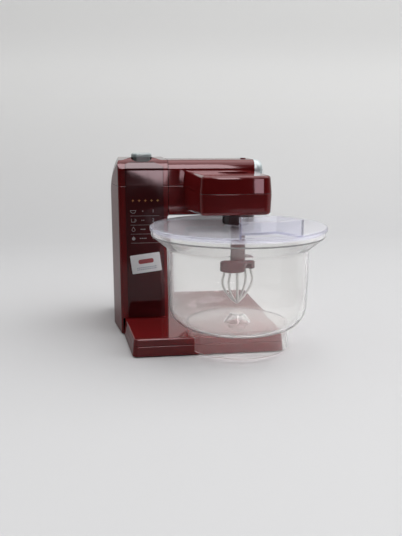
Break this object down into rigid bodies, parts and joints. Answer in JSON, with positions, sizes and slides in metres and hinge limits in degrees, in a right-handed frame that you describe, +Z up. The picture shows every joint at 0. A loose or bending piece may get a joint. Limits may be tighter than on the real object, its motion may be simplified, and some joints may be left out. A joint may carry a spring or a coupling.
{
  "type": "toy food processor",
  "caption": "Toy food processor with a tower, a tilting arm that drives a whisk, a clear bowl keyed to the base and a clear lid with a filling chute.",
  "frame": {"origin": "middle of the whole toy's box, on the table that the feet stand on", "axes": "+X to the right as one faces the control panel, +Y to the back, +Z up"},
  "size_m": [0.2206, 0.2694, 0.202],
  "materials": {
    "burgundy_plastic": "high gloss moulded plastic",
    "dark_panel": "gloss, nearly black red",
    "teal_grey_plastic": "satin",
    "black_plastic": "matte",
    "white_nylon": "matte",
    "silver_grey_plastic": "satin",
    "clear_bowl_plastic": "clear, slightly milky",
    "clear_lid_plastic": "clear, bluish at the edges",
    "foot_rubber": "matte",
    "zinc_steel": "zinc plated",
    "spring_steel": "drawn wire",
    "contact_brass": "plated",
    "lead_jacket": "soft wire insulation",
    "cell_jacket": "printed film, plain"
  },
  "bodies": {
    "stand": {"base_upper_shell": "burgundy_plastic", "base_lower_tray": "burgundy_plastic", "base_screws": "zinc_steel", "rubber_feet": "foot_rubber", "tower_lower_shell": "burgundy_plastic", "tower_top_cover": "burgundy_plastic", "tower_front_panel": "dark_panel", "button_spring": "spring_steel", "switch_block": "black_plastic", "battery_holder": "black_plastic", "battery_cells": "cell_jacket", "battery_contacts": "contact_brass", "battery_door": "burgundy_plastic", "battery_door_screw": "zinc_steel", "supply_leads": "lead_jacket", "tilt_axle": "black_plastic", "mixing_bowl": "clear_bowl_plastic"},
    "arm": {"arm_lower_shell": "burgundy_plastic", "arm_upper_shell": "burgundy_plastic", "arm_end_cap": "teal_grey_plastic", "head_cap": "dark_panel", "drive_motor": "zinc_steel", "motor_leads": "lead_jacket", "gear_pin": "zinc_steel", "gear_plate": "black_plastic"},
    "whisk": {"drive_socket": "dark_panel", "output_gear": "white_nylon", "whisk_holder": "burgundy_plastic", "whisk_wires": "silver_grey_plastic"},
    "compound": {"compound_gear": "white_nylon"},
    "pinion": {"motor_pinion": "contact_brass"},
    "lid": {"bowl_lid": "clear_lid_plastic"},
    "button": {"power_button": "teal_grey_plastic"}
  },
  "joints": [
    {"name": "arm_tilt", "type": "hinge", "parent": "stand", "child": "arm", "pos_m": [0, 0.0527, 0.167], "axis": [-1, 0, 0], "range_deg": [0, 60]},
    {"name": "whisk_spin", "type": "hinge", "parent": "arm", "child": "whisk", "pos_m": [0.0195, -0.0439, 0.1], "axis": [0, 0, 1], "continuous": true},
    {"name": "compound_spin", "type": "hinge", "parent": "arm", "child": "compound", "pos_m": [0.0003, -0.0439, 0.17], "axis": [0, 0, 1], "continuous": true},
    {"name": "pinion_spin", "type": "hinge", "parent": "arm", "child": "pinion", "pos_m": [-0.0077, -0.03004, 0.17], "axis": [0, 0, 1], "continuous": true},
    {"name": "lid_turn", "type": "hinge", "parent": "arm", "child": "lid", "pos_m": [0.0195, -0.0439, 0.13], "axis": [0, 0, 1], "range_deg": [-10, 100]},
    {"name": "button_press", "type": "slide", "parent": "stand", "child": "button", "axis": [0, 0, -1], "range_m": [0, 0.003], "stiffness_N_per_m": 300, "deforming": ["button_spring"]}
  ],
  "couplings": [
    {"joint": "compound_spin", "follows": "whisk_spin", "ratio": -3},
    {"joint": "pinion_spin", "follows": "whisk_spin", "ratio": 9}
  ]
}
